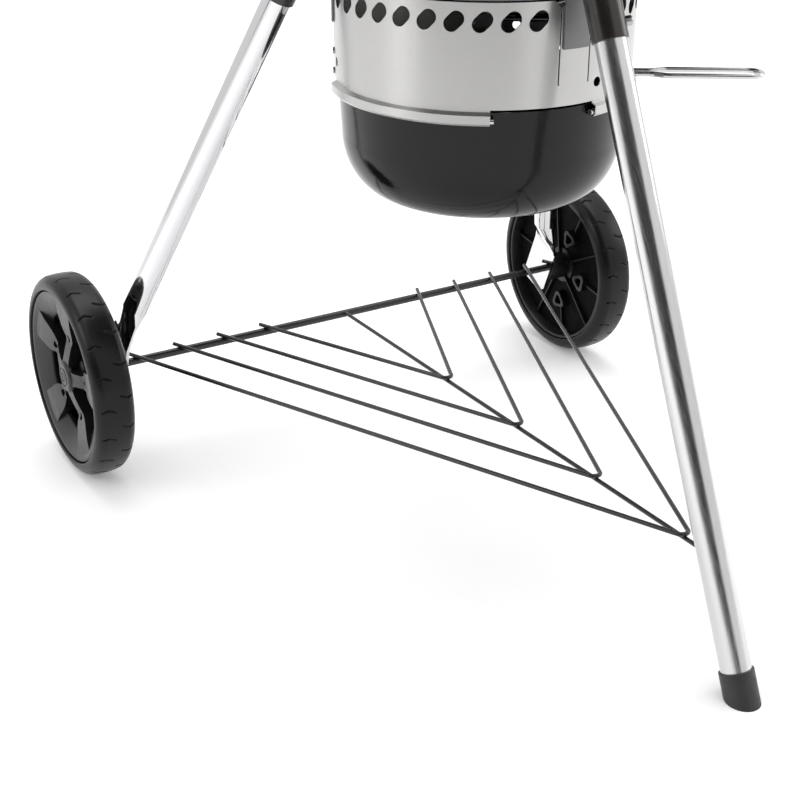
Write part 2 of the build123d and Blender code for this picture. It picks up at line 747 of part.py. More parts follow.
def make_cooking_grate():
    """Fixed middle of the cooking grate, between the two hinge rods."""
    z = cooking_grate_z
    centre_r = cooking_grate_radius - grate_wire_radius
    hinge_angle = degrees(acos(flap_hinge_x / centre_r))
    start = hinge_angle - hoop_overrun
    arcs = [hoop(centre_r, z, start + turn, 180 - 2 * start) for turn in (0, 180)]
    pieces = arcs
    for i in range(-cooking_middle_bars, cooking_middle_bars + 1):
        x = i * cooking_rod_pitch
        half = cooking_rod_half(x)
        pieces.append(rod((x, -half, z), (x, half, z)))
    for side in (-1, 1):
        x = side * flap_hinge_x
        half = cooking_rod_half(flap_hinge_x)
        pieces.append(rod((x, -half, z), (x, half, z)))
    for y in (-0.45 * centre_r, 0.45 * centre_r):
        under = z - 1.8 * grate_wire_radius
        pieces.append(rod((-flap_hinge_x, y, under), (flap_hinge_x, y, under)))
    return joined(pieces)


def make_grate_flap(side):
    """Hinged end of the cooking grate: an arc of hoop, bars and two hooks round the hinge rod."""
    z = cooking_grate_z
    centre_r = cooking_grate_radius - grate_wire_radius
    hook_bore = grate_wire_radius + 2 * RUN
    hook_radius = hook_bore + 3
    first_x = flap_hinge_x + hook_radius + grate_wire_radius + 1
    arc_angle = degrees(acos(first_x / centre_r)) + hoop_overrun
    arc = hoop(centre_r, z, -arc_angle, 2 * arc_angle)
    pieces = [rod((first_x, -cooking_rod_half(first_x), z), (first_x, cooking_rod_half(first_x), z))]
    x = first_x + cooking_rod_pitch
    while x < centre_r - cooking_rod_pitch / 2:
        pieces.append(rod((x, -cooking_rod_half(x), z), (x, cooking_rod_half(x), z)))
        x += cooking_rod_pitch
    flap = joined([arc] + pieces)
    for y in (-flap_hook_y, flap_hook_y):
        strap_start = flap_hinge_x + hook_bore
        strap_end = sqrt(centre_r ** 2 - y ** 2)
        strap_place = Pos((strap_start + strap_end) / 2, y, z)
        strap = strap_place * Box(strap_end - strap_start, flap_strap_width, flap_strap_thickness)
        eye_place = Pos(flap_hinge_x, y, z) * Rot(90, 0, 0)
        flap += strap + eye_place * Cylinder(hook_radius, flap_strap_width)
        flap -= eye_place * Cylinder(hook_bore, flap_strap_width + 3)
    return flap if side > 0 else Rot(0, 0, 180) * flap


# ---------------------------------------------------------------- bowl handles
def handle_centre_z():
    return bowl_rim_z - handle_drop


def make_handle_bracket(side):
    """Two angle tabs welded to the bowl under one handle."""
    z = handle_centre_z() - handle_height / 2 - 1.5 - RUN
    tabs = []
    for end in (-1, 1):
        tab = Pos(bowl_radius + 8, end * handle_half_span, z) * Box(60, 20, 3)
        tab -= Pos(bowl_radius + 24, end * handle_half_span, z) * Cylinder(3 + RUN, 10)
        tab = (tab - bowl_volume(SEAT)).solids().sort_by(Axis.X)[-1]
        tabs.append(tab if side > 0 else Rot(0, 0, 180) * tab)
    return group(tabs)


def make_bowl_handle(side):
    """Moulded grip, bent like a staple, standing off the bowl."""
    z = handle_centre_z()
    near = bowl_radius + rim_bead_radius + 3
    far = bowl_radius + handle_reach
    path = FilletPolyline((near, -handle_half_span, z), (far, -handle_half_span, z),
                          (far, handle_half_span, z), (near, handle_half_span, z), radius=20)
    section = Plane(origin=path @ 0, x_dir=(0, 1, 0), z_dir=path % 0) * RectangleRounded(
        handle_width, handle_height, 5)
    grip = sweep(section, path)
    for end in (-1, 1):
        grip -= Pos(bowl_radius + 24, end * handle_half_span, z - handle_height / 2) * Cylinder(3 + RUN, 24)
    return grip if side > 0 else Rot(0, 0, 180) * grip


def make_handle_screws(side):
    """Two screws up through the bracket tabs into the grip."""
    low = handle_centre_z() - handle_height / 2 - 3 - 2 * RUN
    screws = []
    for end in (-1, 1):
        screw = Pos(0, 0, low + 6) * Cylinder(3, 12)
        screw += Pos(0, 0, low - 1.5) * Cylinder(5, 3)
        screws.append(Pos(bowl_radius + 24, end * handle_half_span, 0) * screw)
    pair = group(screws)
    return pair if side > 0 else Rot(0, 0, 180) * pair


# ---------------------------------------------------------------- lid
def lid_dome(inset):
    """Filled dome above the shoulder, inset from the lid's outside."""
    radius = lid_dome_radius - inset
    arc = EllipticalCenterArc((0, lid_shoulder_z), radius, lid_height - inset, arc_size=90 - crown_flat)
    back = Polyline(arc @ 1, (0, (arc @ 1).Y), (0, lid_shoulder_z), (radius, lid_shoulder_z))
    return revolve(Plane.XZ * make_face([arc, back]), Axis.Z)


def on_lid(offset, angle, lift):
    """Place on the lid's outside: local +Z along the outward normal, lifted off it."""
    z = lid_z_at(offset)
    rise = (z - lid_shoulder_z) / lid_height ** 2
    out = offset / lid_dome_radius ** 2
    tilt = degrees(atan2(out, rise))
    return around(angle) * Pos(offset, 0, z) * Rot(0, tilt, 0) * Pos(0, 0, lift)


def make_lid():
    """Enamelled dome with a shoulder that sits on the bowl's rim and a skirt outside it."""
    shell = lid_dome(0) - lid_dome(lid_wall)
    inner = lid_skirt_radius - lid_wall
    skirt_low = lid_shoulder_z - lid_skirt_depth
    lap = lid_dome_radius - 2 * lid_wall
    shoulder_top = lid_shoulder_z + lid_wall
    shell += turned([(lap, lid_shoulder_z), (inner, lid_shoulder_z), (inner, skirt_low),
                     (lid_skirt_radius, skirt_low), (lid_skirt_radius, shoulder_top), (lap, shoulder_top)])
    damper = on_lid(damper_offset, 90, 0)
    for i in range(4):
        hole = Pos(damper_hole_offset, 0, 0) * Cylinder(damper_hole_radius, 12)
        shell -= damper * around(45 + 90 * i) * hole
    shell -= damper * Cylinder(2.5 + RUN, 12)
    shell -= on_lid(dial_offset, -90, 0) * Cylinder(4 + RUN, 20)
    for side in (-1, 1):
        shell -= Pos(side * lid_handle_half_span, 0, lid_shoulder_z + lid_height) * Cylinder(3 + RUN, 60)
    return shell


def make_lid_handle_posts():
    """Two metal feet that stand on the lid and carry the grip."""
    posts = []
    for side in (-1, 1):
        x = side * lid_handle_half_span
        low = lid_z_at(lid_handle_half_span + 9) - 4
        high = lid_shoulder_z + lid_height + 12
        post = Pos(x, 0, (low + high) / 2) * Cylinder(9, high - low)
        post -= Pos(0, 0, SEAT) * lid_dome(0)
        post -= Pos(x, 0, high) * Cylinder(3 + RUN, 100)
        posts.append(post.solids().sort_by(Axis.Z)[-1])
    return group(posts)


def make_lid_handle():
    """Moulded grip in the shape of a low arch."""
    low = lid_shoulder_z + lid_height + 12 + RUN
    top = lid_shoulder_z + lid_height + lid_handle_rise
    half = lid_handle_half_span
    path = FilletPolyline((-half, 0, low), (-half, 0, top), (half, 0, top), (half, 0, low), radius=20)
    section = Plane(origin=path @ 0, x_dir=(0, 1, 0), z_dir=path % 0) * RectangleRounded(26, 15, 5)
    grip = sweep(section, path)
    for side in (-1, 1):
        grip -= Pos(side * half, 0, low) * Cylinder(3 + RUN, 20)
    return grip


def make_lid_handle_screws():
    """Two screws from inside the lid, up through the feet into the grip."""
    screws = []
    for side in (-1, 1):
        low = lid_z_at(lid_handle_half_span + 6, lid_wall) - SEAT - RUN
        high = lid_shoulder_z + lid_height + 12 + 8
        screw = Pos(0, 0, (low + high) / 2) * Cylinder(3, high - low)
        screw += Pos(0, 0, low - 1.5) * Cylinder(6, 3)
        screws.append(Pos(side * lid_handle_half_span, 0, 0) * screw)
    return group(screws)


def make_lid_damper():
    """Turning vent disc with four holes, a rim and a finger tab."""
    disc = Pos(0, 0, 0.6) * Cylinder(damper_radius, 1.2)
    for i in range(4):
        disc -= around(45 + 90 * i) * Pos(damper_hole_offset, 0, 0) * Cylinder(damper_hole_radius, 12)
    disc -= Cylinder(2.5 + RUN, 12)
    disc += Pos(damper_radius - 3, 0, 6) * Box(2, 18, 10)
    return on_lid(damper_offset, 90, GAP) * disc


def make_damper_rivet():
    rivet = Pos(0, 0, -1) * Cylinder(2.5, 8)
    rivet += Pos(0, 0, GAP + 1.2 + 0.8 + RUN) * Cylinder(5, 1.6)
    return on_lid(damper_offset, 90, 0) * rivet


def make_thermometer_case():
    """Round metal case on the lid with its stem through the wall."""
    case = Pos(0, 0, 6.5) * Cylinder(dial_radius, 9)
    case -= Pos(0, 0, 9) * Cylinder(dial_radius - 2, 9)
    case += Pos(0, 0, -14) * Cylinder(4, 34)
    case -= Pos(0, 0, 4) * Cylinder(1 + RUN, 8)
    return on_lid(dial_offset, -90, 0) * case


def make_thermometer_dial():
    dial = Pos(0, 0, 4.5 + RUN + 0.5) * Cylinder(dial_radius - 2 - RUN, 1) - Cylinder(1 + RUN, 30)
    return on_lid(dial_offset, -90, 0) * dial


def make_thermometer_pointer():
    """Pointer on a spindle at the middle of the dial."""
    pin = Pos(0, 0, 5) * Cylinder(1, 5)
    hand = Pos(6, 0, 7) * Box(26, 1.6, 0.6)
    boss = Pos(0, 0, 7) * Cylinder(2.5, 0.8)
    return on_lid(dial_offset, -90, 0) * around(225) * (pin + hand + boss)


def make_thermometer_glass():
    return on_lid(dial_offset, -90, 0) * Pos(0, 0, 9.2) * Cylinder(dial_radius - 2 - RUN, 1.4)


# ---------------------------------------------------------------- write the parts
def main():
    os.makedirs("parts", exist_ok=True)
    nodes = {
        "bowl": make_bowl(),
        "grate_tabs": make_grate_tabs(),
        "axle": make_axle(),
        "front_leg": make_front_leg(),
        "front_foot_cap": make_foot_cap(),
        "rack_spine": make_rack_spine(),
        "ash_ring": make_ash_ring(),
        "ash_ring_bead_wires": make_bead_wires(),
        "ash_ring_rivets": make_ring_rivets(),
        "ash_pot": make_ash_pot(),
        "cleaning_lever": make_cleaning_lever(),
        "lever_shaft": make_lever_shaft(),
        "sweeper_blades": make_sweeper_blades(),
        "shaft_nut": make_shaft_nut(),
        "charcoal_grate": make_charcoal_grate(),
        "cooking_grate": make_cooking_grate(),
        "lid": make_lid(),
        "lid_handle": make_lid_handle(),
        "lid_handle_posts": make_lid_handle_posts(),
        "lid_handle_screws": make_lid_handle_screws(),
        "lid_damper": make_lid_damper(),
        "lid_damper_rivet": make_damper_rivet(),
        "thermometer_case": make_thermometer_case(),
        "thermometer_dial": make_thermometer_dial(),
        "thermometer_pointer": make_thermometer_pointer(),
        "thermometer_glass": make_thermometer_glass(),
    }
    for index in range(len(rack_apex_y)):
        nodes[f"rack_wire_{index + 1}"] = make_rack_wire(index)
    for name in leg_angles:
        nodes[f"{name}_leg_socket"] = make_socket(name)
        nodes[f"{name}_leg_button"] = make_button(name)
        nodes[f"{name}_ring_bracket"] = make_ring_bracket(name)
        if name != "front":
            nodes[f"{name}_leg"] = make_rear_leg(name)
    for hand, side in (("left", -1), ("right", 1)):
        nodes[f"{hand}_tyre"] = make_tyre(side)
        nodes[f"{hand}_wheel_rim"] = make_rim(side)
        nodes[f"{hand}_hub_cap"] = make_hub_cap(side)
        nodes[f"{hand}_axle_nut"] = make_axle_nut(side)
        nodes[f"{hand}_grate_flap"] = make_grate_flap(side)
        nodes[f"{hand}_handle_bracket"] = make_handle_bracket(side)
        nodes[f"{hand}_bowl_handle"] = make_bowl_handle(side)
        nodes[f"{hand}_handle_screws"] = make_handle_screws(side)
    for name, shape in nodes.items():
        export_step(Pos(0, centre_shift, 0) * shape, f"parts/{name}.step")
    print("nodes", len(nodes), "centre_shift", centre_shift)


if __name__ == "__main__":
    main()
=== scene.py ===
"""Looks of a kettle charcoal grill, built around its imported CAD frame.

Metres, +Z up.  The axle runs along X and the footed leg stands towards -Y.
Sizes written in millimetres are turned into metres by MM where they are used.
"""

import math

import bmesh
import bpy
from mathutils import Matrix, Vector


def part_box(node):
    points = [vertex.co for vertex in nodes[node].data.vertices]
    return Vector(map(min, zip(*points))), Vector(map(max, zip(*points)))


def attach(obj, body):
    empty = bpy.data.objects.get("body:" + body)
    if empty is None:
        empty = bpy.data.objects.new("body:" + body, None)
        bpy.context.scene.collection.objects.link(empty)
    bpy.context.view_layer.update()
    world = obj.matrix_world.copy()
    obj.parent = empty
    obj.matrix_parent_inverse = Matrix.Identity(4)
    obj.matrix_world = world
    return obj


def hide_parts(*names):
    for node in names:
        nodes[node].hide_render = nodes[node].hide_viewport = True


MM = 0.001
WHITE = (1.0, 1.0, 1.0, 1.0)
LEG_DIAMETER = 2 * 12.7 * MM

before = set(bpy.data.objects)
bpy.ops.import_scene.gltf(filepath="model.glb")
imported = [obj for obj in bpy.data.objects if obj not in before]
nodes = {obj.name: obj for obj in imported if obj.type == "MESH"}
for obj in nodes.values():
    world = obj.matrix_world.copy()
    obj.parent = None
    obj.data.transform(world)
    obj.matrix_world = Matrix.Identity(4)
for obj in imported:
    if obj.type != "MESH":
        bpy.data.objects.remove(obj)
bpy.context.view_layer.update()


# ---------------------------------------------------------------- places taken from the frame
def box_middle(name):
    low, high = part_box(name)
    return (low + high) / 2


bowl_middle = box_middle("bowl")
bowl_axis = Vector((0.0, bowl_middle.y, 0.0))


# ---------------------------------------------------------------- node-tree helper
class Shader:
    """Short way to write one material's node tree around a Principled shader."""

    def __init__(self, name):
        self.material = bpy.data.materials.new(name)
        self.material.use_nodes = True
        self.tree = self.material.node_tree
        self.bsdf = self.tree.nodes["Principled BSDF"]
        self.place = self.tree.nodes.new("ShaderNodeTexCoord").outputs["Object"]
        self.normal = None

    def node(self, kind, inputs=None, **settings):
        """New node with settings, and inputs given as values or as other sockets."""
        made = self.tree.nodes.new(kind)
        for key, value in settings.items():
            setattr(made, key, value)
        for key, value in (inputs or {}).items():
            if isinstance(value, bpy.types.NodeSocket):
                self.tree.links.new(value, made.inputs[key])
            else:
                made.inputs[key].default_value = value
        return made

    def set(self, **values):
        """Uniform values straight on the shader's sockets."""
        for key, value in values.items():
            self.bsdf.inputs[key.replace("_", " ").title().replace("Ior", "IOR")].default_value = value
        return self

    def scaled(self, scale):
        return self.node("ShaderNodeMapping", {"Vector": self.place, "Scale": scale}).outputs["Vector"]

    def noise(self, scale, detail=3.0, stretch=(1, 1, 1), rough=0.5):
        inputs = {"Vector": self.scaled(stretch), "Scale": scale, "Detail": detail, "Roughness": rough}
        return self.node("ShaderNodeTexNoise", inputs).outputs["Fac"]

    def span(self, value, low, high, start=0.0, end=1.0):
        """Value mapped from one range to another, and held at its ends."""
        inputs = {"Value": value, "From Min": low, "From Max": high, "To Min": start, "To Max": end}
        return self.node("ShaderNodeMapRange", inputs).outputs["Result"]

    def math(self, operation, first, second=0.0):
        return self.node("ShaderNodeMath", {0: first, 1: second}, operation=operation).outputs[0]

    def mix(self, share, first, second):
        made = self.node("ShaderNodeMix", data_type="RGBA")
        for socket, value in ((made.inputs[0], share), (made.inputs[6], first), (made.inputs[7], second)):
            if isinstance(value, bpy.types.NodeSocket):
                self.tree.links.new(value, socket)
            else:
                socket.default_value = value
        return made.outputs[2]

    def drive(self, name, socket):
        self.tree.links.new(socket, self.bsdf.inputs[name])
        return self

    def colour(self, first, second, share):
        """Base colour that varies between two."""
        return self.drive("Base Color", self.mix(share, first + (1.0,), second + (1.0,)))

    def roughness(self, low, high, share):
        return self.drive("Roughness", self.span(share, 0.3, 0.7, low, high))

    def rounded(self, radius):
        """Softens the look of sharp edges by a radius in metres."""
        self.normal = self.node("ShaderNodeBevel", {"Radius": radius}, samples=6).outputs["Normal"]
        return self.drive("Normal", self.normal)

    def bump(self, height, depth, strength=1.0):
        """Adds a bump of a depth in metres on top of the ones before."""
        inputs = {"Height": height, "Distance": depth, "Strength": strength}
        if self.normal is not None:
            inputs["Normal"] = self.normal
        self.normal = self.node("ShaderNodeBump", inputs).outputs["Normal"]
        return self.drive("Normal", self.normal)


# ---------------------------------------------------------------- materials
def enamel():
    """Porcelain enamel: near-black, wet-looking, with a faint orange peel."""
    s = Shader("black_enamel").set(ior=1.5, specular_ior_level=0.26)
    cloud = s.noise(9.0, 4.0)
    s.colour((0.0024, 0.0024, 0.0026), (0.0055, 0.0053, 0.0053), cloud)
    s.roughness(0.07, 0.16, s.noise(40.0, 5.0))
    s.bump(s.noise(420.0, 2.0), 0.00004)
    return s.material


def socket_enamel():
    """The same enamel where it runs thin over the welded leg sockets: warmer and duller."""
    s = Shader("socket_enamel").set(ior=1.5, specular_ior_level=0.6)
    s.colour((0.012, 0.0095, 0.008), (0.026, 0.021, 0.018), s.noise(26.0, 5.0))
    s.roughness(0.16, 0.3, s.noise(70.0, 5.0))
    s.rounded(0.8 * MM)
    s.bump(s.noise(300.0, 3.0), 0.00004)
    return s.material


def bracket_paint():
    """Dark grey paint on pressed steel."""
    s = Shader("bracket_paint").set(metallic=0.5, ior=1.5)
    s.colour((0.17, 0.17, 0.172), (0.24, 0.24, 0.242), s.noise(30.0, 5.0))
    s.roughness(0.38, 0.55, s.noise(120.0, 4.0))
    s.rounded(0.6 * MM)
    s.bump(s.noise(900.0, 3.0), 0.00003)
    return s.material


def tube_metal(name, colours, roughness, direction, streak_depth):
    """Aluminium tube with fine drawing marks along its length."""
    s = Shader(name).set(metallic=1.0)
    axis = Vector(direction).normalized()
    turn = axis.rotation_difference(Vector((0, 0, 1))).to_euler()
    turned = s.node("ShaderNodeMapping", {"Vector": s.place, "Rotation": turn})
    stretched = s.node("ShaderNodeMapping", {"Vector": turned.outputs["Vector"], "Scale": (1, 1, 0.012)})
    inputs = {"Vector": stretched.outputs["Vector"], "Scale": 900.0, "Detail": 4.0}
    streaks = s.node("ShaderNodeTexNoise", inputs).outputs["Fac"]
    s.colour(colours[0], colours[1], streaks)
    s.roughness(roughness[0], roughness[1], streaks)
    s.bump(streaks, streak_depth)
    return s.material


def brushed_ring_metal():
    """Stainless sheet brushed round the ring, so that reflections smear up and down."""
    s = Shader("brushed_ring").set(metallic=1.0, anisotropic=0.85, anisotropic_rotation=0.25)
    lines = s.noise(90.0, 6.0, stretch=(1, 1, 60), rough=0.6)
    cloud = s.noise(14.0, 2.0, stretch=(1, 1, 0.35))
    worn = s.math("MULTIPLY", lines, s.span(cloud, 0.2, 0.8, 0.8, 1.2))
    s.colour((0.46, 0.456, 0.448), (0.54, 0.536, 0.528), worn)
    s.roughness(0.27, 0.33, lines)
    s.rounded(0.5 * MM)
    s.bump(lines, 0.000002)
    tangent = s.node("ShaderNodeTangent", direction_type="RADIAL", axis="Z").outputs["Tangent"]
    return s.drive("Tangent", tangent).material


def chrome_wire_metal():
    s = Shader("chrome_wire").set(metallic=1.0)
    s.colour((0.50, 0.50, 0.505), (0.66, 0.66, 0.665), s.noise(300.0, 3.0))
    s.roughness(0.12, 0.24, s.noise(500.0, 4.0))
    s.bump(s.noise(1500.0, 3.0), 0.00002)
    return s.material


def wire_paint():
    """Black powder paint on the rack's wires and the axle."""
    s = Shader("black_wire").set(ior=1.5, specular_ior_level=0.55)
    s.colour((0.006, 0.0058, 0.0056), (0.016, 0.0155, 0.015), s.noise(60.0, 5.0))
    s.roughness(0.2, 0.3, s.noise(300.0, 4.0))
    s.bump(s.noise(700.0, 3.0), 0.000008)
    return s.material


def zinc():
    s = Shader("zinc_hardware").set(metallic=1.0)
    s.colour((0.34, 0.34, 0.35), (0.52, 0.52, 0.53), s.noise(220.0, 5.0))
    s.roughness(0.25, 0.45, s.noise(420.0, 4.0))
    s.bump(s.noise(1400.0, 4.0), 0.00004)
    return s.material


def nylon():
    """Glass-filled nylon, as on the grips and the foot."""
    s = Shader("black_nylon").set(ior=1.5)
    s.colour((0.012, 0.012, 0.0125), (0.028, 0.028, 0.029), s.noise(55.0, 5.0))
    s.roughness(0.36, 0.55, s.noise(240.0, 4.0))
    s.bump(s.noise(1700.0, 3.0), 0.00009)
    return s.material


def wheel_plastic(name, dark, light, low, high, specular):
    """Moulded plastic with a fine spark-eroded grain and scuffs."""
    s = Shader(name).set(ior=1.5, specular_ior_level=specular)
    cloud = s.noise(24.0, 5.0)
    scuff = s.span(s.noise(160.0, 6.0, rough=0.7), 0.55, 0.75)
    s.colour(dark, light, s.math("ADD", s.math("MULTIPLY", cloud, 0.7), s.math("MULTIPLY", scuff, 0.3)))
    s.roughness(low, high, s.noise(130.0, 4.0))
    s.bump(s.noise(1500.0, 2.0), 0.00001)
    return s.material


def grate_metal(name, dark, light, depth):
    s = Shader(name).set(metallic=0.9)
    patches = s.noise(70.0, 6.0)
    s.colour(dark, light, patches)
    s.roughness(0.28, 0.5, s.noise(260.0, 4.0))
    s.bump(s.noise(900.0, 4.0), depth)
    return s.material


def dial_white():
    s = Shader("dial_face").set(ior=1.5)
    s.colour((0.70, 0.69, 0.66), (0.80, 0.79, 0.76), s.noise(90.0, 4.0))
    s.roughness(0.3, 0.42, s.noise(200.0, 3.0))
    return s.bump(s.noise(900.0, 2.0), 0.00002).material


def dial_glass():
    s = Shader("dial_glass").set(ior=1.5, transmission_weight=1.0)
    s.colour((0.98, 0.99, 0.99), (0.94, 0.96, 0.96), s.noise(40.0, 2.0))
    s.roughness(0.0, 0.03, s.noise(60.0, 3.0))
    return s.material


def pointer_paint():
    s = Shader("pointer_red").set(ior=1.5)
    s.colour((0.45, 0.02, 0.015), (0.6, 0.035, 0.02), s.noise(400.0, 3.0))
    s.roughness(0.3, 0.45, s.noise(500.0, 3.0))
    return s.material


def floor_white():
    """Seamless white studio paper."""
    s = Shader("studio_floor").set(specular_ior_level=0.0)
    s.colour((0.93, 0.93, 0.935), (0.955, 0.955, 0.955), s.noise(3.0, 3.0))
    s.roughness(0.9, 1.0, s.noise(20.0, 3.0))
    s.bsdf.inputs["Emission Color"].default_value = WHITE
    s.bsdf.inputs["Emission Strength"].default_value = 0.16
    return s.material


def leg_direction(name):
    """Way that a leg runs, from its foot up and in towards the bowl's axis."""
    low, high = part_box(name)
    middle = box_middle(name)
    inward = 0 if abs(middle.x) <= 20 * MM else -1 if middle.x > 0 else 1
    return Vector((inward * (high.x - low.x - LEG_DIAMETER), bowl_axis.y - middle.y, high.z - low.z))


M_ENAMEL = enamel()
M_SOCKET = socket_enamel()
M_BRACKET = bracket_paint()
M_RING = brushed_ring_metal()
M_CHROME = chrome_wire_metal()
M_WIRE = wire_paint()
M_ZINC = zinc()
M_NYLON = nylon()
M_TYRE = wheel_plastic("tyre_plastic", (0.003, 0.003, 0.0034), (0.006, 0.006, 0.0065), 0.3, 0.36, 0.26)
M_RIM = wheel_plastic("rim_plastic", (0.005, 0.005, 0.0055), (0.010, 0.010, 0.011), 0.32, 0.4, 0.42)
# Darker, duller plastic for the pocket disc: painted shade standing in for the depth between the spokes.
M_POCKET_SHADE = wheel_plastic("pocket_painted_shade", (0.002, 0.002, 0.0022), (0.005, 0.005, 0.0055), 0.6, 0.8, 0.08)
M_GRATE = grate_metal("grate_steel", (0.42, 0.42, 0.43), (0.62, 0.62, 0.62), 0.00006)
M_IRON = grate_metal("iron_grate", (0.10, 0.095, 0.09), (0.24, 0.235, 0.23), 0.00012)
M_DAMPER = grate_metal("damper_plate", (0.45, 0.45, 0.455), (0.6, 0.6, 0.605), 0.00003)
M_DIAL = dial_white()
M_GLASS = dial_glass()
M_POINTER = pointer_paint()

CAD_MATERIALS = {
    "black_enamel": M_ENAMEL, "brushed_ring": M_RING, "chrome_wire": M_CHROME, "black_wire": M_WIRE,
    "zinc_hardware": M_ZINC, "black_nylon": M_NYLON, "wheel_plastic": M_RIM, "grate_steel": M_GRATE,
    "iron_grate": M_IRON, "damper_plate": M_DAMPER, "dial_face": M_DIAL, "dial_glass": M_GLASS,
    "pointer_red": M_POINTER,
}


def tube_material(name):
    """Satin front leg, and polished rear legs, each streaked along its own length."""
    if name == "front_leg":
        return tube_metal("satin_tube", ((0.60, 0.60, 0.605), (0.72, 0.72, 0.725)), (0.17, 0.26),
                          leg_direction(name), 0.00001)
    return tube_metal(name + "_polish", ((0.68, 0.68, 0.695), (0.75, 0.75, 0.762)), (0.03, 0.08),
                      leg_direction(name), 0.000002)


def finish_cad_nodes():
    """Every carried-over node gets its procedural material."""
    for name, node in nodes.items():
        slot = node.data.materials[0].name.split(".")[0]
        if "_tube" in slot:
            made = tube_material(name)
        elif name.endswith("_socket"):
            made = M_SOCKET
        elif name.endswith("ring_bracket"):
            made = M_BRACKET
        else:
            made = CAD_MATERIALS[slot]
        for index in range(len(node.data.materials)):
            node.data.materials[index] = made


# ---------------------------------------------------------------- mesh helpers
def new_piece(name, points, faces, material, body, smooth=True):
    """Mesh piece that rides on a body and takes the material it is given."""
    mesh = bpy.data.meshes.new(name)
    mesh.from_pydata([tuple(point) for point in points], [], faces)
    mesh.validate()
    tidy = bmesh.new()
    tidy.from_mesh(mesh)
    bmesh.ops.recalc_face_normals(tidy, faces=tidy.faces)
    tidy.to_mesh(mesh)
    tidy.free()
    mesh.materials.append(material)
    for polygon in mesh.polygons:
        polygon.use_smooth = smooth
    piece = bpy.data.objects.new(name, mesh)
    bpy.context.scene.collection.objects.link(piece)
    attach(piece, body)
    return piece


def lathe(profile, steps, shift=None):
    """Closed outline of (radius, z) turned about local Z; shift moves each point along its radius."""
    points, faces = [], []
    count = len(profile)
    for i in range(steps):
        angle = 2 * math.pi * i / steps
        for radius, z in profile:
            reach = radius + (shift(angle, radius, z) if shift else 0.0)
            points.append(Vector((reach * math.cos(angle), reach * math.sin(angle), z)))
        start, after = i * count, (i + 1) % steps * count
        for j in range(count):
            k = (j + 1) % count
            faces.append((start + j, start + k, after + k, after + j))
    return points, faces


def arc_points(centre, radius, first, last, count):
    """Points of an arc in the (radius, z) plane; angles in degrees."""
    made = []
    for i in range(count):
        angle = math.radians(first + (last - first) * i / (count - 1))
        made.append((centre[0] + radius * math.cos(angle), centre[1] + radius * math.sin(angle)))
    return made


def joined_shapes(shapes):
    """Points and faces of several shapes as one."""
    points, faces = [], []
    for more_points, more_faces in shapes:
        start = len(points)
        points += more_points
        faces += [tuple(start + index for index in face) for face in more_faces]
    return points, faces


def soften(piece, width, angle=35, segments=3):
    """Rounds a piece's sharp edges by a width in metres."""
    bevel = piece.modifiers.new("rounded_edges", "BEVEL")
    bevel.width = width
    bevel.segments = segments
    bevel.limit_method = "ANGLE"
    bevel.angle_limit = math.radians(angle)
    bevel.harden_normals = True


# ---------------------------------------------------------------- wheels
TYRE_HALF = 20 * MM                     # half of its width
TREAD_RADIUS = 101.6 * MM
SEAT_RADIUS = 87.6 * MM                 # where the tyre sits on the rim
TYRE_STEPS = 960                        # round the tyre, fine enough for its grooves
SPOKES = 5
SPOKE_PITCH = 360 / SPOKES              # degrees
FIRST_SPOKE = -8                        # degrees
KNEE_RADIUS = 42.5                      # millimetres, hub to the hole in a spoke's knee
KNEE_HOLE = 3.6                         # millimetres, size of that hole
MARKS_PER_ROW = 20
MARK_ROWS = ((9.5 * MM, 0.0, 1), (-11 * MM, 0.5, -1))      # middle along the axle, offset in pitches, way
MARK_HALF_LENGTH = 8 * MM
MARK_RISE = 3.6 * MM
MARK_HALF_WIDTH = 1.0 * MM
MARK_DEPTH = 2.2 * MM
MARK_FADE = 1.2 * MM                    # length over which a mark's end runs out


def wheel_matrix(side):
    """The wheel's own frame, its +Z pointing away from the grill."""
    middle = box_middle("left_tyre" if side < 0 else "right_tyre")
    return Matrix.Translation(middle) @ Matrix.Rotation(math.radians(90 * side), 4, "Y")


def tread_groove(angle, radius, z):
    """Chevron grooves: two rows of short bent marks, half a pitch apart."""
    if radius < TREAD_RADIUS - 3 * MM:
        return 0.0
    pitch = 2 * math.pi / MARKS_PER_ROW
    deepest = 0.0
    for row_z, offset, way in MARK_ROWS:
        along = abs(z - row_z)
        if along > MARK_HALF_LENGTH:
            continue
        rise = way * MARK_RISE * (1 - along / MARK_HALF_LENGTH)
        turn = (angle / pitch - offset + 0.5) % 1.0 - 0.5
        gap = abs(turn * pitch * TREAD_RADIUS - rise)
        end = min(1.0, (MARK_HALF_LENGTH - along) / MARK_FADE)
        deepest = max(deepest, end * max(0.0, 1 - (gap / MARK_HALF_WIDTH) ** 2))
    return -MARK_DEPTH * deepest


def tyre_profile():
    """Half of the section from the seat up the sidewall and over the shoulder, then mirrored."""
    shoulder = 11.5 * MM
    shoulder_end = 14                   # degrees, where the shoulder's arc meets the tread
    half = [(SEAT_RADIUS, TYRE_HALF - 2.2 * MM)]
    half += arc_points((SEAT_RADIUS + 1.6 * MM, TYRE_HALF - 1.6 * MM), 1.6 * MM, 150, 90, 5)
    side_top = TREAD_RADIUS - shoulder - 0.4 * MM
    half += arc_points((side_top, TYRE_HALF - shoulder), shoulder, 90, shoulder_end, 16)
    crown = side_top + shoulder * math.cos(math.radians(shoulder_end))
    edge_z = TYRE_HALF - shoulder + shoulder * math.sin(math.radians(shoulder_end))
    steps = 40
    tread = []
    for i in range(1, steps):
        z = edge_z * (1 - 2 * i / steps)
        tread.append((TREAD_RADIUS - (TREAD_RADIUS - crown) * (z / edge_z) ** 2, z))
    return half + tread + [(radius, -z) for radius, z in reversed(half)]


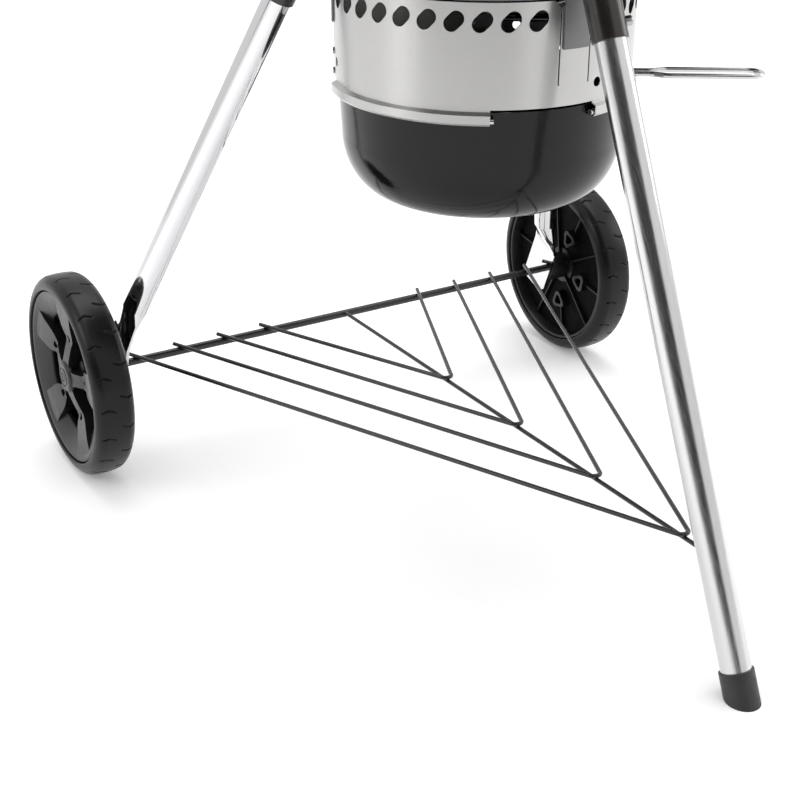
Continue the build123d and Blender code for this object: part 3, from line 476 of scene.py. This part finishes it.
def filled_plate(loops, cuts, front, back):
    """Plate with holes from outlines in (x, y); front and back give z from the distance along X."""
    made = bmesh.new()
    edges = []
    for loop in loops:
        corners = [made.verts.new((x * MM, y * MM, 0)) for x, y in loop]
        edges += [made.edges.new((corners[i], corners[(i + 1) % len(corners)])) for i in range(len(corners))]
    bmesh.ops.triangle_fill(made, use_beauty=True, edges=edges)
    for cut in cuts:
        geometry = made.verts[:] + made.edges[:] + made.faces[:]
        bmesh.ops.bisect_plane(made, geom=geometry, plane_co=(cut * MM, 0, 0), plane_no=(1, 0, 0))
    grown = bmesh.ops.extrude_face_region(made, geom=made.faces[:])
    moved = {vert for vert in grown["geom"] if isinstance(vert, bmesh.types.BMVert)}
    for vert in made.verts:
        along = vert.co.x / MM
        vert.co.z = (back(along) if vert in moved else front(along)) * MM
    made.verts.index_update()
    points = [vert.co.copy() for vert in made.verts]
    faces = [tuple(vert.index for vert in face.verts) for face in made.faces]
    made.free()
    return points, faces


def spun(shape, angle):
    """Shape turned about the wheel's axis by an angle in radians."""
    points, faces = shape
    spin = Matrix.Rotation(angle, 4, "Z")
    return [spin @ point for point in points], faces


def circle(radius, count, middle=(0, 0)):
    return [(middle[0] + radius * math.cos(2 * math.pi * i / count),
             middle[1] + radius * math.sin(2 * math.pi * i / count)) for i in range(count)]


def rounded_triangle(size, middle, turn=0.0, count=30):
    """Outline of a soft triangle that points towards the hub."""
    made = []
    for i in range(count):
        angle = 2 * math.pi * i / count
        reach = size * (1 - 0.17 * math.cos(3 * angle))
        made.append((middle + reach * math.cos(angle), reach * math.sin(angle)))
    spin = math.radians(turn)
    across, along = math.cos(spin), math.sin(spin)
    return [(x * across - y * along, x * along + y * across) for x, y in made]


def spoke_shape():
    """One spoke: a bowed arm, a knee with a small hole, and a foot that flares onto the dished ring."""
    outline = [(11, 9.0), (16, 7.4), (22, 6.6), (36, 6.4), (41, 8.2), (46, 12.0), (52, 14.2), (64, 15.8),
               (74, 17.5), (79, 19)]
    ring = outline + [(r, -w) for r, w in reversed(outline)]

    def front(r):
        if r < 40:
            return 14.6 - 5.6 * (max(0.0, r - 11) / 29) ** 1.5
        return 9.0 + 5.6 * min(1.0, (r - 40) / 26) ** 0.8 + max(0.0, r - 66) * 0.09

    knee_hole = rounded_triangle(KNEE_HOLE, KNEE_RADIUS)
    return filled_plate([ring, knee_hole], range(14, 79, 4), front, lambda r: -4.0)


def shaded_pocket_disc():
    """Shallow floor of the pockets between the spokes, open at the five knee holes; its darker material is
    painted shade standing in for deep pockets.
    """
    loops = [circle(84.0, 120), circle(14.6, 60)]
    loops += [rounded_triangle(KNEE_HOLE, KNEE_RADIUS, FIRST_SPOKE + SPOKE_PITCH * i) for i in range(SPOKES)]
    return filled_plate(loops, (), lambda r: -3.0, lambda r: -5.0)


def boss_shape():
    """Raised soft-triangle boss round a knee hole, on the wheel's inner face."""
    loops = [rounded_triangle(9.5, KNEE_RADIUS), rounded_triangle(KNEE_HOLE + 1.6, KNEE_RADIUS)]
    return filled_plate(loops, (), lambda r: -4.5, lambda r: -13.5)


def rib_shape(turn, inner, outer, low, high, half_width):
    """Thin moulded rib between two radii behind the dished ring."""
    corners = [(inner, -half_width), (outer, -half_width), (outer, half_width), (inner, half_width)]
    spin = Matrix.Rotation(turn, 4, "Z")
    points = [spin @ Vector((r * MM, w * MM, z * MM)) for z in (low, high) for r, w in corners]
    faces = [(0, 1, 2, 3), (4, 5, 6, 7)] + [(i, (i + 1) % 4, (i + 1) % 4 + 4, i + 4) for i in range(4)]
    return points, faces


def rim_shapes():
    """Dished ring, barrel, hub and ribs in the wheel's own frame."""
    dish = [(86.9, 17.0), (86.2, 18.0), (84.6, 18.2), (82.4, 17.4), (64.5, 8.9), (62.4, 7.2), (61.8, 5.0),
            (62.4, 2.6), (64.4, 2.4), (81.0, 9.4), (83.2, 7.0), (83.6, -17.0), (84.4, -18.2), (86.9, -18.2)]
    hub = [(4.2, 11.6), (14.2, 11.6), (15.0, 10.8), (15.0, -31.0), (14.0, -32.8), (9.0, -32.8), (4.2, -32.8)]
    collar = [(15.2, 4.0), (20.0, 2.0), (21.0, 0.5), (21.0, -6.0), (15.2, -7.0)]
    scaled = [[(r * MM, z * MM) for r, z in profile] for profile in (dish, hub, collar)]
    shapes = [lathe(profile, 180) for profile in scaled]
    step = 2 * math.pi / SPOKES
    for i in range(2 * SPOKES):
        inner = 53 if i % 2 == 0 else 14.5          # a rib behind a spoke stops at its knee
        shapes.append(rib_shape(math.radians(FIRST_SPOKE) + i * step / 2, inner, 84, -9.5, -4.0, 0.9))
    for i in range(SPOKES):
        shapes.append(spun(boss_shape(), math.radians(FIRST_SPOKE) + i * step))
    return shapes


def cap_outline():
    """Section of the hub cap, with two shallow rings round its middle."""
    outline = [(0.3, 17.2), (3.4, 17.2), (3.8, 16.6), (4.6, 16.6), (5.0, 17.2), (8.4, 17.1), (8.8, 16.2),
               (9.6, 16.2), (10.0, 17.0), (12.6, 16.7), (15.0, 15.8), (16.4, 14.2), (17.0, 12.4),
               (17.0, 11.2), (15.6, 11.2), (15.6, 13.0), (11.0, 14.0), (11.0, 15.4), (0.3, 15.4)]
    return [(r * MM, z * MM) for r, z in outline]


def add_wheel(side):
    """A wheel's tyre, dished rim, spokes, shallow pocket disc darkened as painted shade, and hub cap, over
    its CAD nodes.
    """
    hand = "left" if side < 0 else "right"
    place = wheel_matrix(side)

    def add_piece(name, shape, material):
        points, faces = shape
        placed = [place @ point for point in points]
        return new_piece(hand + name, placed, faces, material, hand + "_wheel")

    tyre = add_piece("_tread_tyre", lathe(tyre_profile(), TYRE_STEPS, tread_groove), M_TYRE)
    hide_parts(hand + "_tyre")
    rim = add_piece("_dished_rim", joined_shapes(rim_shapes()), M_RIM)
    soften(rim, 0.5 * MM, segments=2)
    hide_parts(hand + "_wheel_rim")
    spokes = [spun(spoke_shape(), math.radians(FIRST_SPOKE + SPOKE_PITCH * i)) for i in range(SPOKES)]
    soften(add_piece("_spokes", joined_shapes(spokes), M_RIM), 1.6 * MM)
    # The pocket disc sits shallow and is darkened: painted shade for deep pockets.
    soften(add_piece("_shaded_pocket_disc", shaded_pocket_disc(), M_POCKET_SHADE), 0.3 * MM, segments=1)
    cap = add_piece("_ringed_cap", lathe(cap_outline(), 120), M_RIM)
    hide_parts(hand + "_hub_cap")


# ---------------------------------------------------------------- studio
def add_camera():
    """Camera at the viewing angle: it stands before and left of the grill and looks down at it."""
    azimuth, elevation, roll = math.radians(-31.42), math.radians(25.97), math.radians(0.21)
    focal_share = 1.861                 # focal length as a share of the sensor's width
    from_axis = Vector((-0.72925, -1.05876, 0.7278))
    back = Vector((math.sin(azimuth) * math.cos(elevation), -math.cos(azimuth) * math.cos(elevation),
                   math.sin(elevation)))
    right = (-back).cross(Vector((0, 0, 1))).normalized()
    up = right.cross(-back)
    across = right * math.cos(roll) + up * math.sin(roll)
    upward = up * math.cos(roll) - right * math.sin(roll)
    data = bpy.data.cameras.new("camera")
    data.sensor_width = 36.0
    data.lens = data.sensor_width * focal_share
    data.clip_start = 0.02
    camera = bpy.data.objects.new("camera", data)
    bpy.context.scene.collection.objects.link(camera)
    turn = Matrix((across, upward, back)).transposed().to_4x4()
    camera.matrix_world = Matrix.Translation(bowl_axis + from_axis) @ turn
    bpy.context.scene.camera = camera


def add_world():
    """Bright studio room with one dark side behind the camera, seen only in reflections."""
    world = bpy.data.worlds.new("studio")
    world.use_nodes = True
    bpy.context.scene.world = world
    tree = world.node_tree
    tree.nodes.clear()

    def add(kind, **settings):
        made = tree.nodes.new(kind)
        for key, value in settings.items():
            setattr(made, key, value)
        return made

    def link(source, target):
        tree.links.new(source, target)

    def ramp(source, low, high, start, end):
        made = add("ShaderNodeMapRange", interpolation_type="SMOOTHSTEP")
        link(source, made.inputs["Value"])
        for key, value in (("From Min", low), ("From Max", high), ("To Min", start), ("To Max", end)):
            made.inputs[key].default_value = value
        return made.outputs["Result"]

    def times(first, second):
        made = add("ShaderNodeMath", operation="MULTIPLY")
        for socket, value in zip(made.inputs, (first, second)):
            if isinstance(value, float):
                socket.default_value = value
            else:
                link(value, socket)
        return made.outputs[0]

    dark_middle = math.radians(-139)
    turned = add("ShaderNodeMapping", vector_type="VECTOR")
    turned.inputs["Rotation"].default_value = (0, 0, -dark_middle)
    link(add("ShaderNodeTexCoord").outputs["Generated"], turned.inputs["Vector"])
    split = add("ShaderNodeSeparateXYZ")
    link(turned.outputs["Vector"], split.inputs["Vector"])
    angle = add("ShaderNodeMath", operation="ARCTAN2")
    link(split.outputs["Y"], angle.inputs[0])
    link(split.outputs["X"], angle.inputs[1])
    away = add("ShaderNodeMath", operation="ABSOLUTE")
    link(angle.outputs[0], away.inputs[0])
    side = ramp(away.outputs[0], math.radians(36), math.radians(52), 1.0, 0.0)
    low = ramp(split.outputs["Z"], -0.25, -0.12, 0.0, 1.0)
    high = ramp(split.outputs["Z"], 0.50, 0.68, 1.0, 0.0)
    dark = times(times(side, low), high)
    glow = ramp(split.outputs["Z"], -0.1, 0.9, 0.82, 1.05)
    level = add("ShaderNodeMix", data_type="FLOAT")
    link(dark, level.inputs[0])
    link(glow, level.inputs[2])
    level.inputs[3].default_value = 0.035
    path = add("ShaderNodeLightPath")
    shown = add("ShaderNodeMix", data_type="FLOAT")
    link(path.outputs["Is Camera Ray"], shown.inputs[0])
    link(level.outputs[0], shown.inputs[2])
    shown.inputs[3].default_value = 1.0
    background = add("ShaderNodeBackground")
    background.inputs["Color"].default_value = WHITE
    link(shown.outputs[0], background.inputs["Strength"])
    link(background.outputs["Background"], add("ShaderNodeOutputWorld").inputs["Surface"])


def add_area_light(name, place, target, size, power):
    data = bpy.data.lights.new(name, "AREA")
    data.shape = "DISK"
    data.size = size
    data.energy = power
    light = bpy.data.objects.new(name, data)
    bpy.context.scene.collection.objects.link(light)
    light.location = place
    light.rotation_euler = (Vector(target) - Vector(place)).to_track_quat("-Z", "Y").to_euler()


def add_lights():
    middle = (0, 0, 0.35)
    add_area_light("overhead_box", (0.3, 0.5, 3.0), middle, 2.6, 40)
    add_area_light("left_box", (-2.4, 0.3, 1.5), middle, 1.4, 14)
    add_area_light("right_box", (2.3, -0.6, 1.3), middle, 1.4, 12)


def add_floor():
    """Floor that reaches past every view."""
    half = 9.0
    mesh = bpy.data.meshes.new("studio_floor")
    corners = [(-half, -half, 0), (half, -half, 0), (half, half, 0), (-half, half, 0)]
    mesh.from_pydata(corners, [], [(0, 1, 2, 3)])
    mesh.materials.append(floor_white())
    floor = bpy.data.objects.new("studio_floor", mesh)
    bpy.context.scene.collection.objects.link(floor)


# ---------------------------------------------------------------- build
finish_cad_nodes()
for side in (-1, 1):
    add_wheel(side)
add_camera()
add_world()
add_lights()
add_floor()
bpy.context.scene.view_settings.view_transform = "Standard"

bpy.context.view_layer.update()
